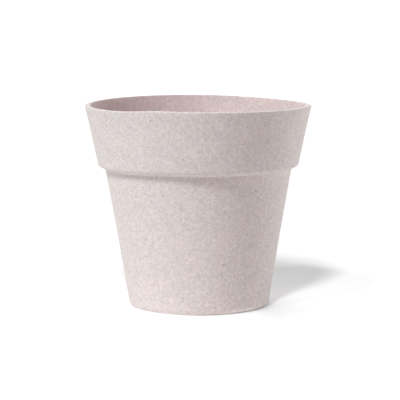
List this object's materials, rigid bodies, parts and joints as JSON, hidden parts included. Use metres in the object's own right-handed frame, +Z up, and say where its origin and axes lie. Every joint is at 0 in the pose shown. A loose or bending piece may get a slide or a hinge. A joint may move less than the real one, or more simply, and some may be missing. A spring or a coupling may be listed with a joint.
{
  "type": "plant pot",
  "caption": "Round tapered plant pot with a deep stepped rim band, a rounded lip and a raised floor with drainage holes, moulded from pale speckled plant-fibre composite.",
  "frame": {"origin": "centre of the foot ring, on the ground", "axes": "+Z up along the pot's axis, towards the open rim; +X and +Y lie midway between neighbouring outer drainage holes"},
  "size_m": [0.1298, 0.1298, 0.1175],
  "materials": {
    "fibre_composite": "pale pinkish-grey moulded plant-fibre composite, matte, with fine brown and pale flecks"
  },
  "bodies": {
    "root": {"pot": "fibre_composite"}
  },
  "joints": []
}
